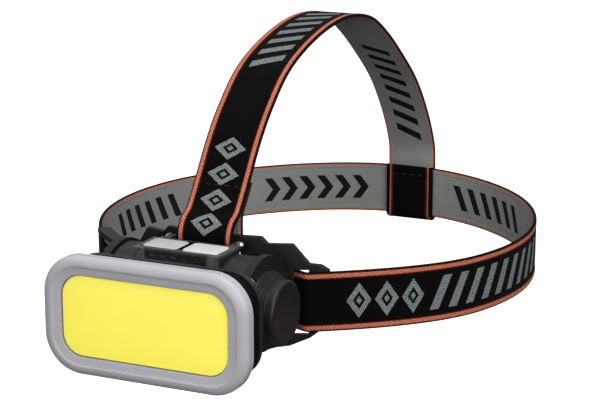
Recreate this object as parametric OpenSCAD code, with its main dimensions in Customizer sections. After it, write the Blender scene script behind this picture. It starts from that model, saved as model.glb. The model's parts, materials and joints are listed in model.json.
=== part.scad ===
// Rechargeable headlamp: a wide flood lamp that tilts in a bracket, on a head band with a top strap.
// The origin is the centre of the head band's loop, at mid height of its webbing.
// The lamp faces -Y, +Z is up and +X is the wearer's left.

/* [Head band] */
// Half width of the band's loop, from ear to ear
loop_half_w = 97.3; // [85:0.1:117]
// Half length of the band's loop, from forehead to back
loop_half_l = 106.5; // [95:0.1:128]
// Width of the webbing
web_w = 25; // [20.5:0.5:30]
// Thickness of the webbing
web_t = 1.7; // [1.2:0.1:2.1]
// Height of the top strap above the middle of the band
arch_h = 101.6; // [84:0.1:122]
// Thickness of the foam pad behind the bracket
pad_t = 3; // [2:0.5:5]

/* [Bracket] */
// Thickness of the curved plate
plate_t = 2.5; // [2:0.1:3]
// Half width of the plate, out to the wing tips
wing_half_w = 46.5; // [45:0.5:48]
// Distance from the middle to each band slot
slot_x = 34.8; // [34.6:0.1:36]
// Length of each band slot along the band
slot_len = 5.6; // [5.4:0.1:6.5]
// Thickness of the two cheeks that the lamp turns in
cheek_t = 3.5; // [3:0.1:3.7]
// Radius of the cheeks' upper part
cheek_r = 21.7; // [19:0.1:22]

/* [Lamp] */
// Distance from the plate to the axis that the lamp tilts about
pivot_stand = 16.5; // [16:0.1:20]
// Height of that axis
pivot_z = 3.6; // [0:0.1:5]
// Distance from the axis to the face of the bezel
face_reach = 39; // [36:0.1:42]
// Width of the bezel
bezel_w = 89.5; // [88:0.5:100]
// Height of the bezel
bezel_h = 47.8; // [46:0.1:52]
// Depth of the bezel
bezel_d = 6; // [5.5:0.1:7]
// Corner radius of the bezel
bezel_r = 16; // [12:0.5:18]
// Width of the bezel's rim around the lit panel
rim_w = 7.6; // [6:0.1:8]
// Wall of the two housing halves
wall = 2; // [1.6:0.1:2.2]

/* [Battery] */
// Radius of the battery cell
cell_r = 9.2; // [7:0.1:9.4]
// Length of the battery cell
cell_l = 65; // [55:0.5:65]
// Outer radius of the tube that holds the cell and turns in the cheeks
tube_r = 12.6; // [12.4:0.1:13.2]

/* [Buttons] */
// Width of each button
button_w = 15.6; // [13:0.2:15.8]
// Length of each button, front to back
button_l = 12; // [10:0.2:12.4]
// Distance that a button travels
button_travel = 0.8; // [0.5:0.1:1]

/* [Fits] */
// Gap between pieces that don't touch
gap = 0.3; // [0.2:0.05:0.4]
// Radial clearance of the tube in the cheeks' bores
run_fit = 0.06; // [0.02:0.01:0.1]

/* [Hidden] */
$fn = 64;

// Band, plate and pad lie in layers, each a depth inwards from the band's outer face.
web_h = web_w / 2;
plate_out = web_t + gap;
plate_in = plate_out + plate_t;
band_back = plate_in + gap;
pad_face = band_back + web_t + gap;
slot_margin = 0.5;
slot_over = 1.5;
plate_top = web_h + 13.5;
plate_bottom = -web_h - 12.5;
wing_rise = 4.5;
plate_y = plate_out - loop_half_l;
cheek_in = 30;
cheek_out = cheek_in + cheek_t;
boss_r = tube_r + 4;
cheek_front = 15.8;
strap_slot_z = plate_top - 5.5;
strap_slot_h = 2.5 * web_t;

// Lamp
pivot_y = plate_y - pivot_stand;
face_y = pivot_y - face_reach;
bezel_y = face_y + bezel_d;
gasket_t = 0.8;
shell_w = bezel_w - 5;
shell_h = bezel_h - 5;
shell_r = bezel_r - 3;
shell_y = bezel_y + gasket_t;
shell_d = 9.7;
seam_y = shell_y + shell_d;
flange_t = 2.5;
lip_t = 0.8;
lens_t = 0.8;
window_w = bezel_w - 2 * rim_w - 1.3;
window_h = bezel_h - 2 * rim_w + 0.4;
window_r = bezel_r - 7;
pocket = 1.5;
lens_y = face_y + lip_t;
panel_y = lens_y + lens_t;
panel_t = 0.6;
board_t = 1.6;
board_y = panel_y + panel_t;
sink_y = board_y + board_t;
sink_t = 1.6;
fin_l = 5;
fin_count = 9;

// Rear body: a rounded hood about the tilt axis, and a deck for the buttons on top of it.
body_w = 2 * (cheek_in - 0.6);
hood_r = 20.5;
hood_back = pivot_y + 8.5;
deck_w = 39;
deck_front = pivot_y - 12;
deck_back = pivot_y + 4.5;
deck_z = pivot_z + 22;
deck_wall = 1.4;
button_x = 8.9;
button_y = (deck_front + deck_back) / 2;
button_top = deck_z + 1.5;
button_flange = 0.5;
button_base = deck_z - deck_wall - gap - 1.3;
frame_t = 0.8;
arm_x = web_h + 2.7;
arm_t = 1.2;
rivet_y = pivot_y + 11.6;
rivet_z = deck_z - 0.6;
rivet_r = 1.35;

// Battery tube
tube_half = cheek_out + 0.6;
tube_bore = cell_r + 0.5;
cap_bore = tube_r - 1.4;
cap_bore_l = 7;
cap_x = tube_half + 0.2;
cap_end = cheek_out + 9;
cap_wide = tube_r + 3;
cap_face_r = tube_r + 0.4;
cap_wall = 1.8;
cell_x = cap_end - cap_wall - 3 - cell_l;

screw_x = 35.5;
screw_z = 15.5;
screw_r = 1.4;
screw_head = 2.6;

usb_x = -shell_w / 2;
usb_y = shell_y + 3.2;
usb_w = 9;
usb_h = 3.2;
board_back = usb_y + usb_h / 2;
driver_t = 1.6;
hinge_x = usb_x - 1.2;
hinge_y = usb_y + 3.2;
switch_z = deck_z - 6.9;
seal_x = tube_half - 1.6;

// A point of the loop at t degrees from the front, d inwards from the band's outer face.
function loop_pt(t, d) =
    let (nx = sin(t) / loop_half_w, ny = -cos(t) / loop_half_l, n = norm([nx, ny]))
    [loop_half_w * sin(t) - d * nx / n, -loop_half_l * cos(t) - d * ny / n];

// How deep the band lies at the angle t: behind the plate as far as its slots, then outside it.
slot_t0 = asin(slot_x / loop_half_w);
slot_t1 = asin((slot_x + slot_len) / loop_half_w);
function ramp(u) = u < 0 ? 0 : u > 1 ? 1 : u * u * (3 - 2 * u);
function band_depth(t) = band_back * (1 - ramp((abs(t) - slot_t0 - 0.1) / (slot_t1 - slot_t0 - 0.2)));

slot_steps = 10;
rear_steps = 31;
half_angles = concat([for (i = [0:3]) slot_t0 * i / 4],
    [for (i = [0:slot_steps]) slot_t0 + (slot_t1 - slot_t0) * i / slot_steps],
    [for (i = [1:rear_steps - 1]) slot_t1 + (180 - slot_t1) * i / rear_steps]);
band_angles = concat([for (i = [len(half_angles) - 1:-1:1]) -half_angles[i]], half_angles, [180]);

// Points along a smooth curve through the points p.
function curve_at(a, b, c, d, u) =
    0.5 * (2 * b + (c - a) * u + (2 * a - 5 * b + 4 * c - d) * u * u + (3 * b - a - 3 * c + d) * u * u * u);
function smooth_path(p, steps) = concat(
    [for (i = [0:len(p) - 2]) for (s = [0:steps - 1])
        curve_at(p[max(i - 1, 0)], p[i], p[i + 1], p[min(i + 2, len(p) - 1)], s / steps)],
    [p[len(p) - 1]]);
function side_pt(p, i, d) =
    let (v = p[min(i + 1, len(p) - 1)] - p[max(i - 1, 0)], n = norm(v))
    p[i] + d * [-v[1], v[0]] / n;
function ribbon(p, t) = concat(
    [for (i = [0:len(p) - 1]) side_pt(p, i, t / 2)],
    [for (i = [len(p) - 1:-1:0]) side_pt(p, i, -t / 2)]);

// The top strap's route in the YZ plane: the sewn end behind the plate, the loop through the
// plate's slot, the arch over the head, and the wrap under the back of the band.
web_c = web_t / 2;
behind_y = -loop_half_l * sqrt(1 - pow(web_h / loop_half_w, 2)) + plate_in + gap + web_c;
front_y = plate_y - gap - web_c;
rear_out = loop_half_l + gap + web_c;
rear_in = loop_half_l * sqrt(1 - pow(web_h / loop_half_w, 2)) - web_t - gap - web_c;
rear_mid = (rear_out + rear_in) / 2;
rear_turn = (rear_out - rear_in) / 2;
lap = web_t + gap;
arch = [for (p = [[-0.95, 0.356], [-0.869, 0.474], [-0.785, 0.598], [-0.685, 0.712], [-0.535, 0.838],
    [-0.357, 0.92], [-0.131, 0.981], [0.075, 1], [0.272, 0.972], [0.423, 0.895], [0.593, 0.769],
    [0.791, 0.596], [0.93, 0.413]]) [p[0] * loop_half_l, p[1] * arch_h]];
arch_start = arch[1] - arch[0];
arch_in = [arch_start[1], -arch_start[0]] / norm(arch_start);
function lap_pt(u) = arch[0] + u * arch_start + lap * arch_in;
front_loop = [
    lap_pt(0.95),
    lap_pt(0.4),
    [behind_y + 0.3, plate_top + 8.5],
    [behind_y, plate_top + 2],
    [behind_y, strap_slot_z + 3],
    [behind_y - 0.4, strap_slot_z + 1.2],
    [behind_y - 1.8, strap_slot_z + 0.2],
    [front_y + 1, strap_slot_z],
    [front_y - 1.4, strap_slot_z + 0.6],
    [front_y - 3, strap_slot_z + 2.4],
    [front_y - 3.6, plate_top - 0.5],
    [front_y - 2.8, plate_top + 3.4],
    [front_y - 0.2, plate_top + 7]];
rear_wrap = concat(
    [[rear_out - 0.6, web_h + 13], [rear_out, web_h + 3], [rear_out, 0],
        [rear_out, 3.5 - web_h], [rear_out, 1.9 - web_h]],
    [for (a = [0:30:180]) [rear_mid + rear_turn * cos(a), 0.4 - web_h - 1.9 * sin(a)]],
    [[rear_in, 1.9 - web_h], [rear_in, 3.5 - web_h], [rear_in, 0], [rear_in, web_h + 0.6]]);
strap_path = smooth_path(concat(front_loop, arch, rear_wrap), 3);

// Lays a shape drawn in X and Z flat against the plane at depth y, d deep towards the back.
module slab(y, d) {
    translate([0, y + d, 0]) rotate([90, 0, 0]) linear_extrude(d) children();
}

// Stands a shape drawn in Y and Z on the plane at x, d wide towards +X.
module rib(x, d) {
    translate([x, 0, 0]) rotate([90, 0, 90]) linear_extrude(d) children();
}

module both_sides() {
    children();
    mirror([1, 0, 0]) children();
}

module rounded(w, h, r) {
    square([w - 2 * r, h], center = true);
    square([w, h - 2 * r], center = true);
    for (sx = [-1, 1]) for (sz = [-1, 1])
        translate([sx * (w / 2 - r), sz * (h / 2 - r)]) circle(r);
}

module face_shape(w, h, r) {
    translate([0, pivot_z]) rounded(w, h, r);
}

// A round bar along X from x0 to x1, on the tilt axis.
module axle(r, x0, x1) {
    translate([x0, pivot_y, pivot_z]) rotate([0, 90, 0]) cylinder(r = r, h = x1 - x0);
}

module block(x0, x1, y0, y1, z0, z1) {
    translate([x0, y0, z0]) cube([x1 - x0, y1 - y0, z1 - z0]);
}

// The loop's curved wall between two depths, over the front.
module front_wall(d0, d1, half_angle) {
    polygon(concat([for (t = [-half_angle:3:half_angle]) loop_pt(t, d0)],
        [for (t = [half_angle:-3:-half_angle]) loop_pt(t, d1)]));
}

module plate_outline() {
    half = [[0, plate_top + 1.2], [21, plate_top + 1.2], [23.5, plate_top - 1.5], [33, plate_top - 1.5],
        [slot_x + 4.3, web_h + wing_rise - 0.6], [wing_half_w - 3.3, web_h + wing_rise - 1.2],
        [wing_half_w - 0.6, web_h + 1.2], [wing_half_w, web_h - 3], [wing_half_w, 8 - web_h],
        [slot_x + slot_len + 2.4, 0.5 - web_h], [slot_x + slot_len - 0.6, -web_h - 2],
        [32.5, -web_h - 5.3], [27.5, -web_h - 6.1], [22, -web_h - 8], [17.7, plate_bottom],
        [0, plate_bottom]];
    polygon(concat(half, [for (i = [len(half) - 2:-1:1]) [-half[i][0], half[i][1]]]));
}

module bracket() {
    color([0.09, 0.09, 0.09]) {
        difference() {
            intersection() {
                translate([0, 0, plate_bottom - 1]) linear_extrude(plate_top - plate_bottom + 4)
                    front_wall(plate_out, plate_in, 39);
                slab(-loop_half_l - 5, loop_half_l) plate_outline();
            }
            both_sides() translate([0, 0, -web_h - slot_margin])
                linear_extrude(web_w + slot_margin + slot_over)
                    arc_wall(-1, plate_in + 1, slot_t0, slot_t1);
            block(-web_h - slot_margin, web_h + slot_margin, -loop_half_l - 5, -loop_half_l / 2,
                strap_slot_z - strap_slot_h / 2, strap_slot_z + strap_slot_h / 2);
        }
        both_sides() cheek();
    }
}

module cheek() {
    difference() {
        union() {
            axle(boss_r, cheek_in, cheek_out);
            intersection() {
                axle(cheek_r, cheek_in, cheek_out);
                block(0, cheek_out, pivot_y - cheek_front, 0, pivot_z, plate_top);
            }
            block(cheek_in, cheek_out, pivot_y, -loop_half_l / 2, pivot_z - boss_r, pivot_z + 9);
        }
        axle(tube_r + run_fit, cheek_in - 1, cheek_out + 1);
        translate([0, 0, pivot_z - boss_r - 1]) linear_extrude(2 * cheek_r + 2)
            front_wall((plate_out + plate_in) / 2, loop_half_l * 0.6, 48);
    }
}

module forehead_pad() {
    foot = 4;
    color([0.14, 0.14, 0.15]) {
        translate([0, 0, -web_h - gap - foot]) linear_extrude(web_w + 2 * (gap + foot))
            front_wall(pad_face, pad_face + pad_t, 18);
        for (z = [-web_h - gap - foot, web_h + gap])
            translate([0, 0, z]) linear_extrude(foot) front_wall(plate_in, pad_face + 0.5, 18);
    }
}

module head_band() {
    color([0.06, 0.06, 0.06]) translate([0, 0, -web_h]) linear_extrude(web_w) difference() {
        polygon([for (t = band_angles) loop_pt(t, band_depth(t))]);
        polygon([for (t = band_angles) loop_pt(t, band_depth(t) + web_t)]);
    }
}

module top_strap() {
    color([0.06, 0.06, 0.06]) rib(-web_h, web_w) polygon(ribbon(strap_path, web_t));
}

// A three-bar slider on the band's right side: the webbing runs inside its end bars and over the
// middle one.
module band_slider() {
    to = -asin((wing_half_w + 2.6) / loop_half_w);
    from = to - 15.5;
    bar = 2.6;
    rail = 2.2;
    mid = (from + to) / 2;
    color([0.08, 0.08, 0.08]) {
        for (z = [-web_h - gap - rail, web_h + gap])
            translate([0, 0, z]) linear_extrude(rail) arc_wall(-gap - 1.6, web_t + gap + 1.6, from, to);
        translate([0, 0, -web_h - gap - 1]) linear_extrude(web_w + 2 * gap + 2) {
            arc_wall(-gap - 1.4, -gap, from, from + bar);
            arc_wall(-gap - 1.4, -gap, to - bar, to);
            arc_wall(web_t + gap, web_t + gap + 1.6, mid - bar, mid + bar);
        }
    }
}

module arc_wall(d0, d1, t0, t1) {
    steps = 4;
    polygon(concat([for (i = [0:steps]) loop_pt(t0 + (t1 - t0) * i / steps, d0)],
        [for (i = [steps:-1:0]) loop_pt(t0 + (t1 - t0) * i / steps, d1)]));
}

// Rows of thread that hold the strap's two folded ends to the layer beside them.
module strap_stitches() {
    color([0.12, 0.12, 0.12]) {
        thread_row(lap_pt(0.7) - arch_in * lap / 2, arch_in, lap);
        thread_row([rear_mid, web_h - 3], [-1, 0], 2 * rear_turn);
    }
}

// Threads across the webbing, centred on the point p between two layers that lie apart by reach.
module thread_row(p, through, reach) {
    for (x = [-9:3:9]) translate([x, p[0], p[1]]) rotate([atan2(through[1], through[0]), 0, 0])
        rotate([90, 0, 0]) cylinder(r = 0.35, h = reach + web_t + 0.4, center = true);
}

module bezel_frame() {
    edge = 1.4;
    color([0.72, 0.73, 0.75]) difference() {
        union() {
            slab(face_y + edge, bezel_d - edge) face_shape(bezel_w, bezel_h, bezel_r);
            slab(face_y, edge) face_shape(bezel_w - 2 * edge, bezel_h - 2 * edge, bezel_r - edge);
        }
        slab(face_y - 1, bezel_d + 2) face_shape(window_w, window_h, window_r);
        slab(lens_y, bezel_d)
            face_shape(window_w + 2 * pocket, window_h + 2 * pocket, window_r + pocket);
    }
}

module pocket_plate(y, d) {
    slab(y, d) face_shape(window_w + 2 * pocket - gap, window_h + 2 * pocket - gap, window_r + pocket);
}

module lens_cover() {
    color([0.95, 0.95, 0.9, 0.4]) pocket_plate(lens_y, lens_t);
}

module cob_panel() {
    color([0.98, 0.95, 0.3]) slab(panel_y, panel_t) face_shape(window_w, window_h, window_r);
}

module cob_board() {
    color([0.9, 0.9, 0.88]) pocket_plate(board_y, board_t);
}

module bezel_gasket() {
    color([0.1, 0.1, 0.1]) difference() {
        slab(bezel_y, gasket_t) face_shape(shell_w - 1, shell_h - 1, shell_r);
        slab(bezel_y - 1, gasket_t + 2) face_shape(shell_w - 5, shell_h - 5, shell_r - 2);
    }
}

module heat_sink() {
    fin_span = window_w - 14;
    color([0.75, 0.76, 0.78]) {
        pocket_plate(sink_y, sink_t);
        for (i = [0:fin_count - 1]) {
            x = fin_span * (i / (fin_count - 1) - 0.5);
            block(x - 0.7, x + 0.7, sink_y + sink_t, sink_y + sink_t + fin_l,
                pivot_z - window_h / 2 + 2, pivot_z + window_h / 2 - 2);
        }
    }
}

module driver_board() {
    color([0.1, 0.35, 0.2]) block(usb_x + 4, 24, board_back, board_back + driver_t,
        pivot_z - 11, pivot_z + 11);
}

module driver_parts() {
    y = board_back + driver_t;
    color([0.15, 0.15, 0.15]) {
        block(-16, -10, y, y + 1.5, pivot_z - 3, pivot_z + 3);
        block(8, 11, y, y + 1, pivot_z - 8, pivot_z - 5);
        block(13, 16, y, y + 1, pivot_z - 8, pivot_z - 5);
        translate([2, y + 2, pivot_z + 5]) rotate([90, 0, 0]) cylinder(r = 3, h = 2);
    }
}

// Two wires from the driver board, past the heat sink, to the light board.
module led_leads() {
    y0 = sink_y + sink_t;
    color([0.7, 0.1, 0.1]) for (sx = [-1, 1])
        translate([sx * 18.75, board_back, pivot_z + 9]) rotate([90, 0, 0])
            cylinder(r = 0.6, h = board_back - y0, $fn = 24);
}

module front_housing() {
    step = 1.5;
    step_d = 3;
    color([0.1, 0.1, 0.1]) difference() {
        union() {
            slab(shell_y, shell_d - step_d) face_shape(shell_w, shell_h, shell_r);
            slab(shell_y + shell_d - step_d, step_d)
                face_shape(shell_w - 2 * step, shell_h - 2 * step, shell_r - step);
        }
        difference() {
            slab(shell_y - 1, shell_d + 2) face_shape(shell_w - 2 * (wall + step),
                shell_h - 2 * (wall + step), shell_r - wall - step);
            screw_posts(shell_y + 3.5, shell_d - 3.5);
        }
        screw_holes(shell_y + 5, shell_d, screw_r);
        block(usb_x - 1, usb_x + wall + step + 1, usb_y - usb_h / 2 - gap, usb_y + usb_h / 2 + gap,
            pivot_z - usb_w / 2 - gap, pivot_z + usb_w / 2 + gap);
    }
}

module screw_places() {
    for (sx = [-1, 1]) for (sz = [-1, 1]) translate([sx * screw_x, 0, pivot_z + sz * screw_z]) children();
}

module screw_posts(y, d) {
    screw_places() translate([0, y + d, 0]) rotate([90, 0, 0]) cylinder(r = 3.6, h = d);
}

module screw_holes(y, d, r) {
    screw_places() translate([0, y + d, 0]) rotate([90, 0, 0]) cylinder(r = r, h = d);
}

module rear_housing() {
    color([0.11, 0.11, 0.11]) difference() {
        union() {
            slab(seam_y, flange_t) face_shape(shell_w - 1, shell_h - 1, shell_r - 0.5);
            rib(-body_w / 2, body_w) body_side(0);
            axle(tube_r, -tube_half, tube_half);
            block(-deck_w / 2, deck_w / 2, deck_front, deck_back, pivot_z, deck_z);
            both_sides() rib(arm_x - 1.8, 1.6) polygon([[deck_back - 3, pivot_z + 10],
                [hood_back - 0.5, pivot_z + 10], [hood_back - 0.5, pivot_z + 16.5],
                [rivet_y + 1.2, rivet_z - 1.2], [rivet_y + 1.2, rivet_z + 1], [rivet_y - 1.5, rivet_z + 1],
                [deck_back - 1, deck_z - 0.5]]);
        }
        rear_cavity();
        axle(tube_bore, -tube_half - 1, tube_half + 1);
        axle(cap_bore, tube_half - cap_bore_l, tube_half + 1);
        screw_holes(seam_y - 1, flange_t + 2, screw_r + 0.2);
        linear_extrude(deck_z + 1) button_openings();
        for (i = [0:2]) light_slot(i, 0.2);
    }
}

// The side outline of the rear body, w inside its outer face.
module body_side(w) {
    top = 150;
    polygon(concat(
        [[seam_y, pivot_z - 18 + w], [pivot_y, pivot_z - tube_r - 0.7 + w]],
        [for (a = [-90:10:0]) [pivot_y, pivot_z] + (tube_r + 0.7 - w) * [cos(a), sin(a)]],
        [[hood_back - w, pivot_z + (w > 0 ? 12 : 10)]],
        [for (a = [acos((hood_back - pivot_y) / hood_r):10:top])
            [pivot_y, pivot_z] + (hood_r - w) * [cos(a), sin(a)]],
        [[seam_y, pivot_z + 16 - w]]));
}

// The space inside the rear body: a box in front of the battery tube, and one under the deck.
module rear_cavity() {
    front = seam_y - 1;
    tube_front = pivot_y - tube_r - 0.2;
    inner = body_w / 2 - wall;
    block(-inner, inner, front, tube_front, pivot_z - 12, pivot_z + 12);
    block(-deck_w / 2 + 1.5, deck_w / 2 - 1.5, deck_front + 1.5, deck_back - 1.5,
        pivot_z + tube_r + 0.6, deck_z - deck_wall);
    block(-6, 6, tube_front - 3, deck_front + 5, pivot_z + 11, pivot_z + tube_r + 1);
}

module light_slot(i, grow) {
    w = 2.6 + 2 * grow;
    h = 1 + 2 * grow;
    x = -10.4 + 4.6 * i;
    block(x - w / 2, x + w / 2, deck_front - 0.2, deck_front + 1.5, deck_z - 1.9 - h / 2,
        deck_z - 1.9 + h / 2);
}

module indicator_lights() {
    color([0.9, 0.95, 0.95]) for (i = [0:2]) light_slot(i, 0);
}

module housing_screws() {
    color([0.7, 0.7, 0.72]) screw_places() translate([0, seam_y + flange_t, 0]) rotate([90, 0, 0])
        difference() {
            union() {
                cylinder(r = screw_r - 0.05, h = 6);
                translate([0, 0, -1.5]) cylinder(r = screw_head, h = 1.5);
            }
            translate([0, 0, -2]) cylinder(r = 1.2, h = 1.3, $fn = 6);
        }
}

module tilt_washers() {
    color([0.6, 0.6, 0.62]) both_sides() difference() {
        axle(boss_r - 1.2, cheek_out + 0.1, cheek_out + 0.5);
        axle(tube_r + 0.1, cheek_out, cheek_out + 1);
    }
}

module button_openings() {
    for (sx = [-1, 1]) translate([sx * button_x, button_y])
        square([button_w + 2 * gap, button_l + 2 * gap], center = true);
}

module button_frame() {
    leg_w = 5;
    color([0.5, 0.5, 0.49]) {
        difference() {
            block(-deck_w / 2 + 0.6, deck_w / 2 - 0.6, deck_front, deck_back, deck_z, deck_z + frame_t);
            translate([0, 0, deck_z - 1]) linear_extrude(3) button_openings();
        }
        both_sides() {
            block(deck_w / 2 - 0.6 - leg_w, deck_w / 2 - 0.6, deck_front - 1.1, deck_front,
                deck_z - 5.1, deck_z + frame_t);
            translate([arm_x, 0, 0]) arm();
        }
    }
}

// The clip arm beside the deck's rear end, with an eye for the rivet.
module arm() {
    difference() {
        union() {
            block(0, arm_t, deck_back, rivet_y, rivet_z - 0.8, rivet_z + 0.8);
            block(0, arm_t, deck_back - 2, deck_back + 2, deck_z, deck_z + frame_t);
            block(0, arm_t, deck_back, deck_back + 2, rivet_z - 0.8, deck_z + frame_t);
            translate([0, rivet_y, rivet_z]) rotate([0, 90, 0]) cylinder(r = 1.6, h = arm_t);
        }
        translate([-1, rivet_y, rivet_z]) rotate([0, 90, 0]) cylinder(r = 0.65, h = arm_t + 2);
    }
}

module frame_rivets() {
    color([0.85, 0.85, 0.86]) both_sides() {
        translate([arm_x - 0.2, rivet_y, rivet_z]) rotate([0, 90, 0]) cylinder(r = 0.6, h = arm_t + 0.3);
        translate([arm_x + arm_t + 0.05, rivet_y, rivet_z]) intersection() {
            sphere(r = rivet_r);
            block(0, 2, -2, 2, -2, 2);
        }
    }
}

module button(x) {
    full = button_w + 2 * button_flange;
    full_l = button_l + 2 * button_flange;
    translate([x, button_y, 0]) {
        translate([0, 0, button_base + 0.8]) linear_extrude(button_top - button_base - 0.8)
            rounded(button_w, button_l, 1.6);
        translate([0, 0, button_base]) linear_extrude(1.3) rounded(full, full_l, 1.6);
    }
}

module power_button() {
    color([0.93, 0.93, 0.92]) button(button_x);
}

module mode_button() {
    color([0.84, 0.84, 0.82]) button(-button_x);
}

module switch_board() {
    color([0.1, 0.35, 0.2]) block(-16.5, 16.5, button_y - 5.5, button_y + 5.5,
        switch_z - 1, switch_z);
}

module button_switches() {
    plunger_top = button_base - button_travel - 0.1;
    color([0.2, 0.2, 0.2]) for (sx = [-1, 1]) {
        block(sx * button_x - 3, sx * button_x + 3, button_y - 3, button_y + 3, switch_z, switch_z + 1.9);
        translate([sx * button_x, button_y, switch_z + 1.9])
            cylinder(r = 1.6, h = plunger_top - switch_z - 1.9);
    }
}

module usb_port() {
    shell = 0.4;
    color([0.75, 0.75, 0.77]) difference() {
        block(usb_x + 1.8, usb_x + 7.5, usb_y - usb_h / 2, usb_y + usb_h / 2,
            pivot_z - usb_w / 2, pivot_z + usb_w / 2);
        block(usb_x, usb_x + 6.5, usb_y - usb_h / 2 + shell, usb_y + usb_h / 2 - shell,
            pivot_z - usb_w / 2 + shell, pivot_z + usb_w / 2 - shell);
    }
}

module usb_cover() {
    flap_t = 1.6;
    flap_h = usb_w + 5;
    plug = 0.9;
    color([0.08, 0.08, 0.08]) {
        block(usb_x - gap - flap_t, usb_x - gap, usb_y - 2.9, hinge_y,
            pivot_z - flap_h / 2, pivot_z + flap_h / 2);
        block(usb_x - gap, usb_x + plug, usb_y - usb_h / 2 + 0.6, usb_y + usb_h / 2 - 0.6,
            pivot_z - usb_w / 2 + 0.6, pivot_z + usb_w / 2 - 0.6);
        translate([hinge_x, hinge_y, pivot_z - flap_h / 2]) cylinder(r = 0.8, h = flap_h);
    }
}

module battery_cell() {
    color([0.15, 0.4, 0.7]) {
        axle(cell_r, cell_x, cell_x + cell_l);
        axle(3.2, cell_x + cell_l, cell_x + cell_l + 1);
    }
}

// A flat coil of round wire that pushes the cell towards the cap.
module contact_spring() {
    turns = 3;
    steps = 16;
    wire = 0.4;
    sides = 6;
    start_x = -tube_half + 3.1;
    rise = (cell_x - start_x - 2 * wire - 0.1) / turns;
    r = 6;
    rings = turns * steps;
    points = [for (i = [0:rings]) for (k = [0:sides - 1])
        let (a = 360 * i / steps, rr = r + wire * cos(360 * k / sides))
        [start_x + wire + rise * i / steps + wire * sin(360 * k / sides),
            pivot_y + rr * cos(a), pivot_z + rr * sin(a)]];
    walls = [for (i = [0:rings - 1]) for (k = [0:sides - 1])
        let (n = (k + 1) % sides)
        [i * sides + k, i * sides + n, (i + 1) * sides + n, (i + 1) * sides + k]];
    ends = [[for (k = [sides - 1:-1:0]) k], [for (k = [0:sides - 1]) rings * sides + k]];
    color([0.8, 0.8, 0.8]) polyhedron(points, concat(walls, ends));
}

module cap_contact() {
    color([0.85, 0.7, 0.3]) axle(5, cell_x + cell_l + 1.2, cell_x + cell_l + 1.6);
}

// The closed left end: a plug in the tube and a disc that keeps the cheek on.
module left_end_cap() {
    color([0.13, 0.13, 0.13]) {
        mirror([1, 0, 0]) cap_shell();
        axle(tube_bore - 0.05, -tube_half - 0.4, -tube_half + 3);
    }
}

// The cap's ribbed shoulder narrows outwards in steps to its flat end.
module cap_shell() {
    ribs = 4;
    pitch = 1.1;
    drop = (cap_wide - cap_face_r) / ribs;
    for (i = [0:ribs - 1]) {
        axle(cap_wide - i * drop, cap_x + i * pitch, cap_x + i * pitch + 0.7);
        axle(cap_wide - i * drop - 0.6, cap_x + i * pitch + 0.7, cap_x + (i + 1) * pitch);
    }
    axle(cap_face_r, cap_x + ribs * pitch, cap_end - 0.7);
    axle(cap_face_r - 0.7, cap_end - 0.7, cap_end);
}

module battery_cap() {
    color([0.13, 0.13, 0.13]) {
        difference() {
            cap_shell();
            axle(tube_bore, cap_x - 1, cap_end - cap_wall);
        }
        difference() {
            axle(cap_bore - 0.08, tube_half - cap_bore_l + 0.6, cap_x + 0.2);
            axle(tube_bore - 0.1, 0, cap_end);
            axle_ring(cap_bore - 0.9, cap_bore + 1, seal_x - 0.8, seal_x + 0.8);
        }
    }
}

module axle_ring(r0, r1, x0, x1) {
    difference() {
        axle(r1, x0, x1);
        axle(r0, x0 - 1, x1 + 1);
    }
}

module cap_seal() {
    color([0.5, 0.1, 0.08]) translate([seal_x, pivot_y, pivot_z]) rotate([0, 90, 0])
        rotate_extrude() translate([cap_bore - 0.48, 0]) circle(0.38, $fn = 24);
}

bracket();
forehead_pad();
head_band();
top_strap();
band_slider();
strap_stitches();
bezel_frame();
lens_cover();
cob_panel();
cob_board();
bezel_gasket();
heat_sink();
driver_board();
driver_parts();
led_leads();
front_housing();
rear_housing();
housing_screws();
tilt_washers();
button_frame();
frame_rivets();
power_button();
mode_button();
button_switches();
switch_board();
indicator_lights();
usb_port();
usb_cover();
battery_cell();
contact_spring();
cap_contact();
left_end_cap();
battery_cap();
cap_seal();
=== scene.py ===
"""Finishes for a rechargeable headlamp: webbing, foam, moulded plastic, lamp face and studio stage.

Run as a script in Blender 4.5. Every size is in metres, in the same frame as the CAD model.
"""

import functools
import json
import math

import bmesh
import bpy
import numpy as np
from bpy.props import FloatProperty, FloatVectorProperty, PointerProperty
from mathutils import Matrix, Vector


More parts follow.
